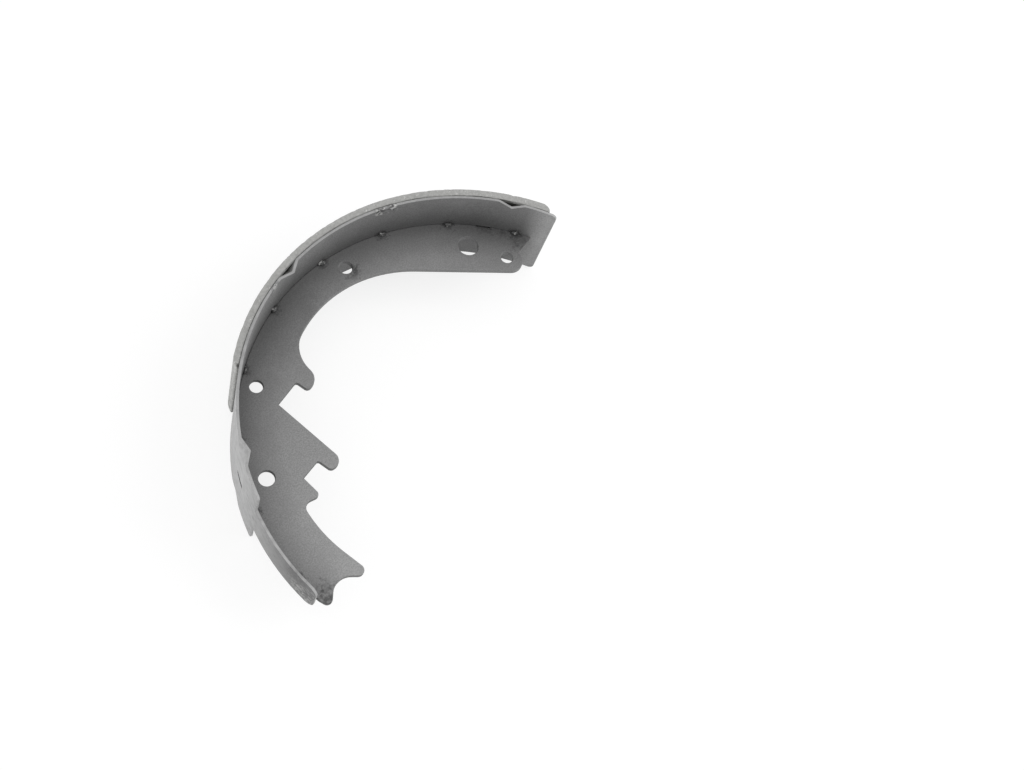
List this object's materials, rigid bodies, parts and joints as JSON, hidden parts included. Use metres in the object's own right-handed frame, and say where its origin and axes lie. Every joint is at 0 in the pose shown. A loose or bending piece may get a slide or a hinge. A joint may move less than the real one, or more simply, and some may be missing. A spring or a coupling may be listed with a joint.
{
  "type": "drum brake shoe",
  "caption": "Curved brake shoe: a flat notched web welded inside a rolled table that carries a bonded friction lining, wide under the lining and narrow along its tail.",
  "frame": {"origin": "on the drum axis, level with the lower edge of the table that the shoe lies on", "axes": "+Z along the drum axis, square to the web; +X towards the adjuster end, +Y towards the crown of the arch"},
  "size_m": [0.2559, 0.1479, 0.059],
  "materials": {
    "coated_steel": "thin matt grey coating over stamped steel, finely mottled",
    "friction_block": "ground, dusty friction material with fine grains",
    "adhesive": "dark cured film"
  },
  "bodies": {
    "root": {"web": "coated_steel", "table": "coated_steel", "welds": "coated_steel", "lining": "friction_block", "bond": "adhesive"}
  },
  "joints": []
}
